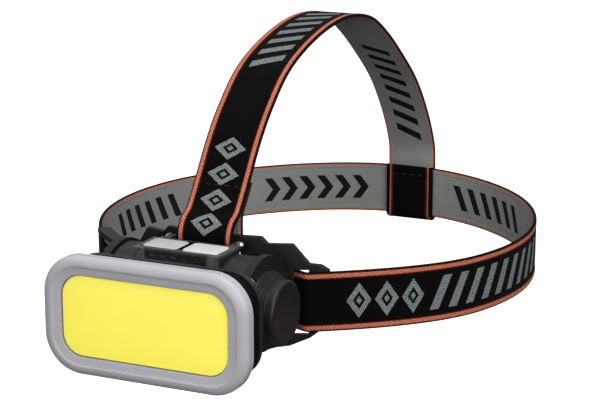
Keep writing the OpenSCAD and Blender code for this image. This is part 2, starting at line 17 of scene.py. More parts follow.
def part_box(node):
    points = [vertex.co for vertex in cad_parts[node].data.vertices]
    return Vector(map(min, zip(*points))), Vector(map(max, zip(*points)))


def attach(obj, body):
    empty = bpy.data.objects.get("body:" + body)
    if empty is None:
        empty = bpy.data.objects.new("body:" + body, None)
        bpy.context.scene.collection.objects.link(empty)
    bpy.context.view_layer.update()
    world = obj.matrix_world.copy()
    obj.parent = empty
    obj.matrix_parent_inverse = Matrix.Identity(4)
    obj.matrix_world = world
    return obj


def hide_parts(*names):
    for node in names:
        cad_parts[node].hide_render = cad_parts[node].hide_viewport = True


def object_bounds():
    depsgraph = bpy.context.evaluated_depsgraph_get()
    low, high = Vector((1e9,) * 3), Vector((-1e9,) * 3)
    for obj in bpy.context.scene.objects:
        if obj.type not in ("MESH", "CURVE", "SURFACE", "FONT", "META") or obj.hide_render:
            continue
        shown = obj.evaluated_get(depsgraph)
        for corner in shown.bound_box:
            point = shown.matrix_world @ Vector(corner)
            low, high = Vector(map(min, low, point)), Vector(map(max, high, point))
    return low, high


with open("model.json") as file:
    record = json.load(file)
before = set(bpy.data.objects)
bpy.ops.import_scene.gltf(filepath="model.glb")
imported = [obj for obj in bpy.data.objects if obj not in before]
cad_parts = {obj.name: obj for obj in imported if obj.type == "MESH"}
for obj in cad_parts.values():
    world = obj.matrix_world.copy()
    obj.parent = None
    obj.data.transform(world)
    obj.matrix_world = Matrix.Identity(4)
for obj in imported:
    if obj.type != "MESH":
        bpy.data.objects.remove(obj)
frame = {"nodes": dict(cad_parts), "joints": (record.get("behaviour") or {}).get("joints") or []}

bl_info = {
    "name": "Headlamp Finishes",
    "version": (1, 0, 0),
    "blender": (4, 5, 0),
    "location": "3D View > Sidebar > Headlamp",
    "description": "Webbing, padding, mouldings and finishes round the headlamp's CAD model",
    "category": "Object",
}

MM = 0.001
CAD_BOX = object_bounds()
BAND_LO, BAND_HI = (np.array(p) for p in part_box("head_band"))
BEZEL_LO, BEZEL_HI = (np.array(p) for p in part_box("bezel_frame"))
PANEL_LO, PANEL_HI = (np.array(p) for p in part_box("cob_panel"))
CAP_LO, CAP_HI = (np.array(p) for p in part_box("battery_cap"))
BUTTON_LO, BUTTON_HI = (np.array(p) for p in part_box("power_button"))
TILT = next(j for j in frame["joints"] if j["name"] == "head_tilt")
PIVOT = np.array(TILT["pos_m"])
# Copies of CAD meshes: points this close are merged, faces this flat are joined, and edges this
# sharp are rounded.
MERGE, FLAT, CREASE = 2e-6, math.radians(1.0), math.radians(28)


def linear(r, g, b):
    """Screen colour from 0 to 255 as linear light: a power of 2.4 above the toe."""
    return tuple(
        c / 255 / 12.92 if c <= 10 else ((c / 255 + 0.055) / 1.055) ** 2.4 for c in (r, g, b)
    )


def colour(name, description, default):
    """A colour setting."""
    return FloatVectorProperty(
        name=name, description=description, subtype="COLOR", size=3, min=0, max=1, default=default
    )


def length(name, description, default):
    """A length setting in metres."""
    return FloatProperty(
        name=name, description=description, default=default, min=0, unit="LENGTH", precision=5
    )


def level(name, description, default, unit="NONE"):
    """A power or brightness setting."""
    return FloatProperty(name=name, description=description, default=default, unit=unit)


class HeadlampWebbing(bpy.types.PropertyGroup):
    """Sizes and colours of the elastic webbing."""

    half_width: length("Half width", "Half width of the head band's loop", BAND_HI[0])
    half_length: length("Half length", "Half length of the head band's loop", BAND_HI[1])
    arch: length("Arch", "Height of the top strap above the band's middle", 0.1016)
    width: length("Webbing width", "Width of the webbing", BAND_HI[2] - BAND_LO[2])
    thickness: length("Webbing thickness", "Thickness of the webbing", 0.0017)
    face: colour("Face", "Yarn of the webbing's face", linear(8, 7, 7))
    back: colour("Back", "Yarn of the webbing's back", linear(156, 158, 155))
    stripe: colour("Stripe", "Yarn of the edge stripes", linear(228, 138, 108))
    figure: colour("Figure", "Yarn of the woven figures", linear(150, 158, 158))


class HeadlampFinishes(bpy.types.PropertyGroup):
    """Colours of the hard pieces."""

    bezel: colour("Bezel", "Paint of the bezel", linear(206, 206, 212))
    panel: colour("Panel", "Phosphor of the light panel", linear(250, 240, 70))
    housing: colour("Housing", "Plastic of the lamp's housings", linear(30, 30, 31))
    bracket: colour("Bracket", "Plastic of the bracket", linear(21, 21, 21))
    cap: colour("Cap", "Plastic of the end caps", linear(34, 34, 34))
    button: colour("Power button", "Plastic of the power button", linear(232, 234, 231))
    mode: colour("Mode button", "Plastic of the mode button", linear(206, 207, 204))
    clip: colour("Clip frame", "Plastic of the clip frame", linear(72, 73, 71))


class HeadlampStage(bpy.types.PropertyGroup):
    """Floor, light and camera."""

    drop: length("Floor drop", "How far the floor lies below the model", 0.1)
    key: level("Key light", "Power of the key", 3.6, "POWER")
    fill: level("Fill light", "Power of the fill", 4.2, "POWER")
    front: level("Front light", "Power of the front light", 2.4, "POWER")
    sky: level("Sky", "Brightness of the sky overhead", 0.66)
    ground: level("Ground", "Brightness from below", 0.08)
    lens: FloatProperty(
        name="Lens", description="Focal length", default=108.857, unit="CAMERA", min=1
    )


# ---------------------------------------------------------------- meshes


def link(name, data):
    """A new object in the scene."""
    made = bpy.data.objects.new(name, data)
    bpy.context.scene.collection.objects.link(made)
    return made


def signed_volume(points, tris):
    """Sum over triangles of the corner vectors' triple product, over six."""
    a, b, c = points[tris[:, 0]], points[tris[:, 1]], points[tris[:, 2]]
    return float(np.einsum("ij,ij->i", a, np.cross(b, c)).sum() / 6)


def add_piece(name, points, faces, material, uv=None, values=None, sharp=None):
    """Puts whole arrays into a mesh object. faces is a list of (n, k) index arrays, uv a list of
    matching (n, k, 2) arrays. A shape that comes out inside out has its faces turned round."""
    points = np.asarray(points, float).reshape(-1, 3)
    fans = np.concatenate(
        [np.stack([f[:, 0], f[:, k], f[:, k + 1]], 1) for f in faces for k in range(1, f.shape[1] - 1)]
    )
    if signed_volume(points, fans) < 0:
        faces = [f[:, ::-1] for f in faces]
        uv = [u[:, ::-1] for u in uv] if uv is not None else None
    mesh = bpy.data.meshes.new(name)
    mesh.from_pydata(points.tolist(), [], [row for f in faces for row in f.tolist()])
    if uv is not None:
        layer = mesh.uv_layers.new(name="UVMap")
        layer.uv.foreach_set("vector", np.concatenate([u.reshape(-1) for u in uv]).astype(np.float32))
    for key, data in (values or {}).items():
        attribute = mesh.attributes.new(key, "FLOAT", "POINT")
        attribute.data.foreach_set("value", np.asarray(data, np.float32).reshape(-1))
    mesh.shade_smooth()
    if sharp:
        mesh.set_sharp_from_angle(angle=math.radians(sharp))
    mesh.materials.append(material)
    return link(name, mesh)


def grid_faces(nu, nv, wrap_u, wrap_v):
    """Four-cornered faces of a grid of nu by nv points, closed round in either direction."""
    i, j = np.meshgrid(
        np.arange(nu if wrap_u else nu - 1), np.arange(nv if wrap_v else nv - 1), indexing="ij"
    )
    i2, j2 = (i + 1) % nu, (j + 1) % nv
    return np.stack([i * nv + j, i2 * nv + j, i2 * nv + j2, i * nv + j2], -1).reshape(-1, 4)


def ring_piece(name, rings, material, closed=False, sharp=None):
    """A skin over rings of points, rings[k, i]: each ring is closed, and the first and last ring
    are closed with a fan to their middle, or joined to each other."""
    rings = np.asarray(rings, float)
    nk, ni = rings.shape[:2]
    points = rings.reshape(-1, 3)
    faces = [grid_faces(nk, ni, closed, True)]
    if not closed:
        i = np.arange(ni)
        for k, flip in ((0, False), (nk - 1, True)):
            points = np.vstack([points, rings[k].mean(0)])
            fan = np.stack([k * ni + i, k * ni + (i + 1) % ni, np.full(ni, len(points) - 1)], 1)
            faces.append(fan[:, ::-1] if flip else fan)
    return add_piece(name, points, faces, material, sharp=sharp)


def round_rect(half_w, half_h, radius, steps, straight):
    """Points of a rounded rectangle: a corner's centre plus its radius times the outward
    direction. All such outlines have the same number of points, so they can be skinned."""
    turn = np.linspace(0, np.pi / 2, steps)
    direction, centre = [], []
    for q, (sx, sz) in enumerate(((1, 1), (-1, 1), (-1, -1), (1, -1))):
        a = turn + q * np.pi / 2
        direction.append(np.stack([np.cos(a), np.sin(a)], 1))
        centre.append(np.tile([sx, sz], (steps, 1)))
        nx, nz = ((-1, 1), (-1, -1), (1, -1), (1, 1))[q]
        u = np.linspace(0, 1, straight + 2)[1:-1, None]
        direction.append(np.tile([np.cos(a[-1]), np.sin(a[-1])], (straight, 1)))
        centre.append((1 - u) * [sx, sz] + u * [nx, nz])
    direction, centre = np.vstack(direction), np.vstack(centre)
    half = np.array([half_w, half_h])
    radius = min(radius, half_w * 0.999, half_h * 0.999)
    return centre * (half - radius) + radius * direction


def face_rings(profile, steps, straight):
    """Rings in planes across Y, about the tilt axis's height: profile rows are half width, half
    height, corner radius and y."""
    rings = []
    for half_w, half_h, radius, y in profile:
        xz = round_rect(half_w, half_h, radius, steps, straight)
        rings.append(np.stack([xz[:, 0], np.full(len(xz), y), xz[:, 1] + PIVOT[2]], 1))
    return np.array(rings)


def inset_rows(half_w, half_h, radius, *steps):
    """Profile rows of one outline, moved in by each step's distance and set at its y."""
    return [(half_w - inset, half_h - inset, radius - inset, y) for inset, y in steps]


def lathe_rings(profile, steps=96):
    """Rings about the tilt axis: profile rows are x and radius."""
    a = np.arange(steps) * 2 * np.pi / steps
    rings = []
    for x, r in profile:
        y, z = PIVOT[1] + r * np.cos(a), PIVOT[2] + r * np.sin(a)
        rings.append(np.stack([np.full(steps, x), y, z], 1))
    return np.array(rings)


def rounded_corners(points, radii, steps):
    """A closed polygon with each corner replaced by a short curve: the quadratic blend of the two
    points that lie the corner's radius along its sides, and of the corner."""
    out = []
    for k, (p, r) in enumerate(zip(points, radii)):
        to_a, to_b = points[k - 1] - p, points[(k + 1) % len(points)] - p
        la, lb = np.linalg.norm(to_a), np.linalg.norm(to_b)
        a, b = p + to_a / la * min(r, la * 0.49), p + to_b / lb * min(r, lb * 0.49)
        u = np.linspace(0, 1, steps + 1)[:, None]
        out.append((1 - u) ** 2 * a + 2 * u * (1 - u) * p + u**2 * b)
    return np.vstack(out)


def ease(u):
    """A smooth step: three times the square less twice the cube of u, held from 0 to 1."""
    u = np.clip(u, 0, 1)
    return u * u * (3 - 2 * u)


def hump(x, at, spread):
    """A smooth bump, 1 at its place and 0 beyond its spread: the square of a cosine."""
    return np.cos(np.clip(np.abs(x - at) / spread, 0, 1) * math.pi / 2) ** 2


def smooth_route(points, steps):
    """A cubic through the points whose slope at each is half the step between its neighbours."""
    p = np.asarray(points, float)
    a, b = np.vstack([p[:1], p[:-2]]), p[:-1]
    c, d = p[1:], np.vstack([p[2:], p[-1:]])
    u = (np.arange(steps) / steps)[None, :, None]
    a, b, c, d = (q[:, None] for q in (a, b, c, d))
    curve = 0.5 * (
        2 * b + (c - a) * u + (2 * a - 5 * b + 4 * c - d) * u**2 + (3 * b - a - 3 * c + d) * u**3
    )
    return np.vstack([curve.reshape(-1, p.shape[1]), p[-1:]])


def even_route(points, spacing):
    """The same polyline with points at equal distances along it."""
    step = np.linalg.norm(np.diff(points, axis=0), axis=1)
    at = np.concatenate([[0], np.cumsum(step)])
    want = np.linspace(0, at[-1], max(2, int(round(at[-1] / spacing)) + 1))
    return np.stack([np.interp(want, at, points[:, k]) for k in range(points.shape[1])], 1)


def tangents(points, closed):
    """Unit directions along a route, from each point's two neighbours."""
    if closed:
        t = np.roll(points, -1, 0) - np.roll(points, 1, 0)
    else:
        t = np.gradient(points, axis=0)
    return t / np.linalg.norm(t, axis=1)[:, None]


def web_section(width, thickness):
    """Outline of woven elastic across its width: two faces with a raised stripe and a narrow
    groove beside it, joined by rounded selvedges. Returns width place, height and side."""
    edge = thickness / 2
    flat = width / 2 - edge * 0.8
    runs = (np.linspace(*ends) for ends in ((-1, -0.72, 12), (-0.66, 0.66, 13), (0.72, 1, 12)))
    w = np.concatenate(list(runs)) * flat
    share = np.abs(w) / (width / 2)
    ridge = np.exp(-(((share - 0.85) / 0.075) ** 4))
    groove = np.exp(-(((share - 0.765) / 0.02) ** 2))
    face = thickness * (0.47 + 0.055 * ridge - 0.05 * groove)
    turn = np.linspace(0, np.pi, 7)[1:-1]
    round_w = flat + edge * 0.8 * np.sin(turn)
    round_h = face[-1] * np.cos(turn)
    place = np.concatenate([w, round_w, w[::-1], -round_w])
    height = np.concatenate([face, round_h, -face[::-1] * 0.99, -round_h])
    side = np.concatenate([np.ones(len(w)), np.linspace(1, 0, 5), np.zeros(len(w)), np.linspace(0, 1, 5)])
    return place, height, side


def webbing_piece(name, route, across, width, thickness, closed, facing, start, material):
    """Woven elastic: its outline carried along the route, with the width along across and the
    face towards facing times (tangent x across). The UV map is distance along and place across,
    in metres; the attribute face_side is 1 on the face and 0 on the back."""
    t = tangents(route, closed)
    normal = facing * np.cross(t, across)
    normal /= np.linalg.norm(normal, axis=1)[:, None]
    place, height, side = web_section(width, thickness)
    sideways = place[None, :, None] * np.asarray(across)[None, None]
    points = route[:, None] + sideways + height[None, :, None] * normal[:, None]
    nu, nv = points.shape[:2]
    ahead = np.vstack([route, route[:1]]) if closed else route
    run = start + np.concatenate([[0], np.cumsum(np.linalg.norm(np.diff(ahead, axis=0), axis=1))])
    faces = grid_faces(nu, nv, closed, True)
    rows = nu if closed else nu - 1
    i, j = np.meshgrid(np.arange(rows), np.arange(nv), indexing="ij")
    w = np.concatenate([place, place[:1]])
    corners = [(i, j), (i + 1, j), (i + 1, j + 1), (i, j + 1)]
    uv = np.stack([np.stack([run[a], w[b]], -1) for a, b in corners], 2).reshape(-1, 4, 2)
    faces, uvs = [faces], [uv]
    if not closed:
        k = np.arange(nv)[None]
        for ring, flip in ((0, False), (nu - 1, True)):
            cap = ring * nv + (k[:, ::-1] if flip else k)
            faces.append(cap)
            uvs.append(np.stack([np.full(cap.shape, run[ring]), place[cap - ring * nv]], -1))
    piece = add_piece(name, points, faces, material, uvs, {"face_side": np.tile(side, nu)})
    return piece, run[-1] - start


def tube_piece(name, routes, radius, material, sides=8):
    """Round tubes along open routes, with rounded ends, joined in one piece. A ring's centre
    follows the route, and its plane stands square to the route's direction."""
    points, faces, base = [], [], 0
    a = np.arange(sides) * 2 * np.pi / sides
    for route in routes:
        t = tangents(route, False)
        side = np.cross(t, [0.31, 0.22, 0.93])
        side /= np.linalg.norm(side, axis=1)[:, None]
        up = np.cross(t, side)
        size = np.full(len(route), radius)
        size[0] = size[-1] = radius * 0.35
        cos, sin = np.cos(a)[None, :, None], np.sin(a)[None, :, None]
        ring = route[:, None] + size[:, None, None] * (cos * side[:, None] + sin * up[:, None])
        n = len(route)
        points.append(ring.reshape(-1, 3))
        faces.append(grid_faces(n, sides, False, True) + base)
        points.append(np.array([route[0], route[-1]]))
        i = np.arange(sides)
        tip = base + n * sides
        faces.append(np.stack([base + i, base + (i + 1) % sides, np.full(sides, tip)], 1))
        last = base + (n - 1) * sides
        faces.append(np.stack([last + (i + 1) % sides, last + i, np.full(sides, tip + 1)], 1))
        base += n * sides + 2
    return add_piece(name, np.vstack(points), faces, material)


def moulded_copy(node, name, material, bevel, segments=3):
    """A copy of a CAD node's mesh, merged, its flat faces joined up and its edges rounded."""
    mesh = frame["nodes"][node].data.copy()
    mesh.name = name
    work = bmesh.new()
    work.from_mesh(mesh)
    bmesh.ops.remove_doubles(work, verts=work.verts, dist=MERGE)
    bmesh.ops.dissolve_limit(
        work, angle_limit=FLAT, verts=work.verts, edges=work.edges, delimit={"NORMAL"}
    )
    work.to_mesh(mesh)
    work.free()
    mesh.materials.clear()
    mesh.materials.append(material)
    mesh.shade_smooth()
    mesh.set_sharp_from_angle(angle=CREASE)
    piece = link(name, mesh)
    rounding = piece.modifiers.new("Rounding", "BEVEL")
    rounding.width, rounding.segments = bevel, segments
    rounding.limit_method, rounding.angle_limit = "ANGLE", CREASE
    rounding.use_clamp_overlap = rounding.harden_normals = True
    rounding.miter_outer = "MITER_ARC"
    return piece


def place(piece, body, slot, *nodes):
    """Rides a piece on its body and hides the nodes it stands for. The slot argument is not used."""
    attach(piece, body)
    if nodes:
        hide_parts(*nodes)
    return piece


# ---------------------------------------------------------------- materials


class Field:
    """A value that varies over a surface. Arithmetic on fields is written as Math nodes."""

    def __init__(self, tree, socket):
        self.tree, self.socket = tree, socket

    def apply(self, operation, *others):
        """The field of one Math node."""
        node = self.tree.nodes.new("ShaderNodeMath")
        node.operation = operation
        for k, value in enumerate((self, *others)):
            if isinstance(value, Field):
                self.tree.links.new(value.socket, node.inputs[k])
            else:
                node.inputs[k].default_value = value
        return Field(self.tree, node.outputs[0])

    def __add__(self, other):
        return self.apply("ADD", other)

    def __sub__(self, other):
        return self.apply("SUBTRACT", other)

    def __mul__(self, other):
        return self.apply("MULTIPLY", other)

    def __truediv__(self, other):
        return self.apply("DIVIDE", other)

    def abs(self):
        """Distance from zero."""
        return self.apply("ABSOLUTE")

    def wrap(self, pitch):
        """What is left over after whole pitches, from 0 to pitch."""
        return self.apply("FLOORED_MODULO", pitch)

    def flip(self):
        """One less the field."""
        return self * -1 + 1

    def ramp(self, low, high, start=0.3, end=0.7, kind="LINEAR"):
        """The field's values from start to end, spread between two numbers and held beyond."""
        node = self.tree.nodes.new("ShaderNodeMapRange")
        node.interpolation_type = kind
        self.tree.links.new(self.socket, node.inputs["Value"])
        for key, value in (("From Min", start), ("From Max", end), ("To Min", low), ("To Max", high)):
            node.inputs[key].default_value = value
        return Field(self.tree, node.outputs["Result"])

    def above(self, limit, soft=0.0):
        """1 where the field is above the limit, with a soft step of that width."""
        if soft <= 0:
            return self.apply("GREATER_THAN", limit)
        return self.ramp(0, 1, limit - soft / 2, limit + soft / 2, "SMOOTHSTEP")

    def inside(self, low, high, soft=0.0):
        """1 between two limits."""
        return self.above(low, soft) - self.above(high, soft)

    def either(self, other):
        """The larger of two fields."""
        return self.apply("MAXIMUM", other)


class Paint:
    """A new material with the tools to build its pattern."""

    def __init__(self, name, roughness=0.5, metallic=0.0, **settings):
        self.material = bpy.data.materials.new(name)
        self.material.use_nodes = True
        self.tree = self.material.node_tree
        self.shader = self.tree.nodes["Principled BSDF"]
        self.shader.inputs["Roughness"].default_value = roughness
        self.shader.inputs["Metallic"].default_value = metallic
        for key, value in settings.items():
            self.shader.inputs[key.replace("_", " ")].default_value = value

    def node(self, kind, **settings):
        """A new node with its properties and numbered inputs set."""
        made = self.tree.nodes.new(kind)
        for key, value in settings.items():
            if hasattr(made, key):
                setattr(made, key, value)
            else:
                made.inputs[key.replace("_", " ")].default_value = value
        return made

    def here(self):
        """The piece's own coordinates."""
        return self.node("ShaderNodeTexCoord").outputs["Object"]

    def split(self, vector):
        """A vector's three parts, as fields."""
        made = self.node("ShaderNodeSeparateXYZ")
        self.tree.links.new(vector, made.inputs["Vector"])
        return [Field(self.tree, socket) for socket in made.outputs]

    def noise(self, scale, detail=2.0, vector=None):
        """Noise on the piece's own coordinates or a vector, in cycles per metre."""
        made = self.node("ShaderNodeTexNoise", Scale=scale, Detail=detail)
        self.tree.links.new(vector or self.here(), made.inputs["Vector"])
        return Field(self.tree, made.outputs["Fac"])

    def cells(self, scale, **settings):
        """Distance to the nearest middle of a cell, in cells per metre."""
        made = self.node("ShaderNodeTexVoronoi", Scale=scale, **settings)
        self.tree.links.new(self.here(), made.inputs["Vector"])
        return Field(self.tree, made.outputs["Distance"])

    def mix(self, share, first, second):
        """Colour between two, each a colour or a socket."""
        made = self.node("ShaderNodeMix", data_type="RGBA")
        self.tree.links.new(share.socket, made.inputs["Factor"])
        for key, value in (("A", first), ("B", second)):
            slot = next(s for s in made.inputs if s.name == key and s.type == "RGBA")
            if isinstance(value, bpy.types.NodeSocket):
                self.tree.links.new(value, slot)
            else:
                slot.default_value = (*value, 1)
        return next(s for s in made.outputs if s.type == "RGBA")

    def tones(self, field, rgb, first, second, start=0.3, end=0.7):
        """A colour whose brightness goes from first to second as the field rises."""
        return self.mix(field.ramp(0, 1, start, end), shade(rgb, first), shade(rgb, second))

    def set(self, key, field):
        """Links a field or colour to the shader."""
        self.tree.links.new(field.socket if isinstance(field, Field) else field, self.shader.inputs[key])

    def bump(self, height, distance, strength=1.0):
        """Surface relief from a height field."""
        made = self.node("ShaderNodeBump", Strength=strength, Distance=distance)
        self.tree.links.new(height.socket, made.inputs["Height"])
        self.tree.links.new(made.outputs["Normal"], self.shader.inputs["Normal"])


def shade(rgb, factor):
    """A colour made lighter or darker."""
    return tuple(min(1.0, c * factor) for c in rgb)


def plastic(name, rgb, roughness, grain=1400, depth=0.00002, wear_and_highlight=0.0, spread=0.1, **settings):
    """Moulded plastic: fine spark-eroded grain, cloudy gloss and paler edges, which are partly rubbed
    wear and partly a painted highlight where light catches the edges.
    """
    paint = Paint(name, roughness, **settings)
    base = paint.tones(paint.noise(90, 3), rgb, 1 - spread, 1 + spread)
    if wear_and_highlight:
        # Paler edges in patches: partly rubbed wear, partly a painted highlight standing in for light
        # caught on the edges.
        geometry = paint.node("ShaderNodeNewGeometry")
        edge = Field(paint.tree, geometry.outputs["Pointiness"]).above(0.535, 0.05)
        scuffs_and_highlight = paint.noise(420, 3).above(0.42, 0.3)
        base = paint.mix(edge * scuffs_and_highlight * wear_and_highlight, base, shade(rgb, 3.2))
    paint.set("Base Color", base)
    paint.set("Roughness", paint.noise(260, 3).ramp(roughness - 0.06, roughness + 0.08))
    paint.bump(paint.noise(grain, 4), depth)
    return paint.material


def metal(name, rgb, roughness, brush=(1, 1, 1)):
    """Bare metal with fine drawing marks."""
    paint = Paint(name, roughness, 1.0)
    mapping = paint.node("ShaderNodeMapping")
    paint.tree.links.new(paint.here(), mapping.inputs["Vector"])
    mapping.inputs["Scale"].default_value = brush
    marks = paint.noise(1800, 3, mapping.outputs["Vector"])
    paint.set("Base Color", paint.tones(marks, rgb, 0.86, 1.05))
    paint.set("Roughness", marks.ramp(roughness - 0.06, roughness + 0.1))
    paint.bump(marks, 0.000008)
    return paint.material


def figure_mask(along, across, kind, start, end, pitch, half):
    """A row of whole geometric figures between two distances along the webbing: lozenges with a
    spot inside, chevrons that point along, or slanting bars."""
    run = along - start
    if kind == "chevrons":
        run, low, high = run - across.abs() * 0.75, 0.15, 0.6
    if kind == "slants":
        run, low, high = run - across * 0.5, 0.2, 0.66
    count = math.floor((end - start) / pitch + 0.1)
    zone = run.inside(0, count * pitch) * across.abs().above(half).flip()
    if kind != "lozenges":
        return run.wrap(pitch).inside(pitch * low, pitch * high) * zone
    centre = (run.wrap(pitch) - pitch / 2).abs()
    reach = centre * (half / (pitch * 0.44)) + across.abs()
    ring = reach.inside(half * 0.5, half)
    spot = reach.above(half * 0.24).flip()
    return ring.either(spot) * zone


def figures(along, across, rows):
    """Several rows of figures together."""
    return functools.reduce(Field.either, [figure_mask(along, across, *row) for row in rows])


def webbing_finish(name, settings, woven, printed, plain=None):
    """Elastic webbing from its UV map, x along and y across in metres: black face with mottled
    stripes and woven figures, grey melange back with a thin line at each edge and printed figures.
    Between the two distances of plain, the stripe is narrower."""
    paint = Paint(name, 0.86, Specular_IOR_Level=0.06, Sheen_Weight=0.02, Sheen_Roughness=0.5)
    tree = paint.tree
    uv = paint.node("ShaderNodeUVMap", uv_map="UVMap")
    along, across, _ = paint.split(uv.outputs["UV"])
    side = paint.node("ShaderNodeAttribute", attribute_name="face_side").outputs["Fac"]
    face = Field(tree, side).above(0.5)
    half = settings.width / 2
    off = across.abs() / half
    # The yarns: warp ribs across the width, and picks that step sideways at every other rib.
    ribs, picks, twills = 0.84 * MM, 0.8 * MM, 1.3 * MM
    rib = (across.wrap(ribs) / ribs - 0.5).abs() * 2
    row = (across / ribs).apply("FLOOR").wrap(2)
    pick = ((along + row * (picks / 2)).wrap(picks) / picks - 0.5).abs() * 2
    weave = rib * 0.55 + pick * 0.45
    fleck = paint.noise(1500, 2, uv.outputs["UV"])
    cloud = paint.noise(160, 3, uv.outputs["UV"])
    black = paint.tones(fleck, settings.face, 0.7, 2.0, 0.35, 0.75)
    # Woven figures: pale yarn that comes up on some picks only.
    shown = figures(along, across, woven)
    lift = (fleck * 0.9 + pick * 0.35 + rib * 0.15).above(0.62, 0.22)
    figured = paint.mix(shown * lift, black, settings.figure)
    # Edge stripe with its dark red fringe.
    thread = ((along + across * 0.8).wrap(twills) / twills - 0.5).abs() * 2
    lively = thread * 0.6 + fleck * 0.8
    stripe_mix = paint.tones(lively, settings.stripe, 0.42, 1.12, 0.45, 0.95)
    wobble = (paint.noise(900, 1, uv.outputs["UV"]) - 0.5) * 0.03
    at = off + wobble
    fringe = at.inside(0.755, 0.955, 0.03)
    stripe = at.inside(0.795, 0.925, 0.025)
    if plain:
        narrow = along.inside(*plain)
        broad = narrow.flip()
        fringe = fringe * broad + at.inside(0.70, 0.8, 0.03) * narrow
        stripe = stripe * broad + at.inside(0.785, 0.835, 0.02) * narrow
    front = paint.mix(fringe, figured, linear(92, 26, 14))
    front = paint.mix(stripe, front, stripe_mix)
    # Back of the webbing.
    grey = paint.tones(fleck + cloud * 0.4, settings.back, 0.9, 1.1, 0.5, 0.9)
    back = paint.mix(figures(along, across, printed) * 0.97, grey, linear(5, 5, 5))
    back = paint.mix(off.above(0.935, 0.02), back, linear(44, 34, 32))
    back = paint.mix(off.inside(0.9, 0.95, 0.015), back, linear(214, 126, 96))
    paint.set("Base Color", paint.mix(face, back, front))
    paint.bump(weave * 0.8 + fleck * 0.2, 0.00012, 0.6)
    return paint.material


# ---------------------------------------------------------------- pieces


def loop_points(t, depth, half_w, half_l):
    """Points at angles t from the front of an ellipse, moved inwards along its normal."""
    nx, ny = np.sin(t) / half_w, -np.cos(t) / half_l
    n = np.hypot(nx, ny)
    return np.stack([half_w * np.sin(t) - depth * nx / n, -half_l * np.cos(t) - depth * ny / n, 0 * t], 1)


# Angles from the loop's front between which the band crosses the plate, and depths behind the
# loop's outline of the plate's two faces and of the band behind it.
SLOT_FROM, SLOT_TO = (math.asin(x / 0.0973) for x in (0.0348, 0.0404))
PLATE_OUT, PLATE_IN = 2.0 * MM, 4.5 * MM
BAND_BACK = 4.8 * MM


class HEADLAMP_OT_head_band(bpy.types.Operator):
    """Weaves the head band round its loop, behind the bracket plate and out through its slots."""

    bl_idname = "headlamp.head_band"
    bl_label = "Head Band"

    def execute(self, context):
        web = context.scene.headlamp_webbing
        fine = np.radians(np.arange(0, 360, 0.75)) - math.pi
        for s in (-1, 1):
            fine = np.concatenate([fine, s * np.linspace(SLOT_FROM - 0.01, SLOT_TO + 0.01, 36)])
        t = np.unique(fine.round(5))
        t = t[np.concatenate([[True], np.diff(t) > 0.0006])]
        out = ease((np.abs(t) - SLOT_FROM - 0.002) / (SLOT_TO - SLOT_FROM - 0.004))
        depth = BAND_BACK * (1 - out) + web.thickness / 2
        route = loop_points(t, depth, web.half_width, web.half_length)
        # Worn elastic waves a little up and down its loop: height in mm, at degrees from the front.
        waves = ((1.3, 36, 34), (-0.9, 96, 46), (1.1, 180, 50), (1.1, -180, 50))
        for height, at, spread in waves:
            route[:, 2] += height * MM * hump(np.degrees(t), at, spread)
        shapes = [(0.053, 0.088, 0.0118, 0.0074, "lozenges"), (0.092, 0.190, 0.0098, 0.0070, "slants")]
        repeat, gap = 0.2135, 0.1068
        woven = [
            (kind, a + k * repeat, b + k * repeat, pitch, half)
            for k in (-1, 0, 1)
            for a, b, pitch, half, kind in shapes
        ]
        printed = [
            ("chevrons" if k % 2 else "slants", 0.0187 + k * gap, 0.0737 + k * gap, 0.0092, 0.0060)
            for k in (-3, -2, -1, 0, 1, 2)
        ]
        finish = webbing_finish("band_webbing", web, woven, printed)
        band, run = webbing_piece(
            "band_webbing", route, (0, 0, 1), web.width, web.thickness, True, 1, -0.3203, finish
        )
        place(band, "headset", "webbing", "head_band")
        return {"FINISHED"}


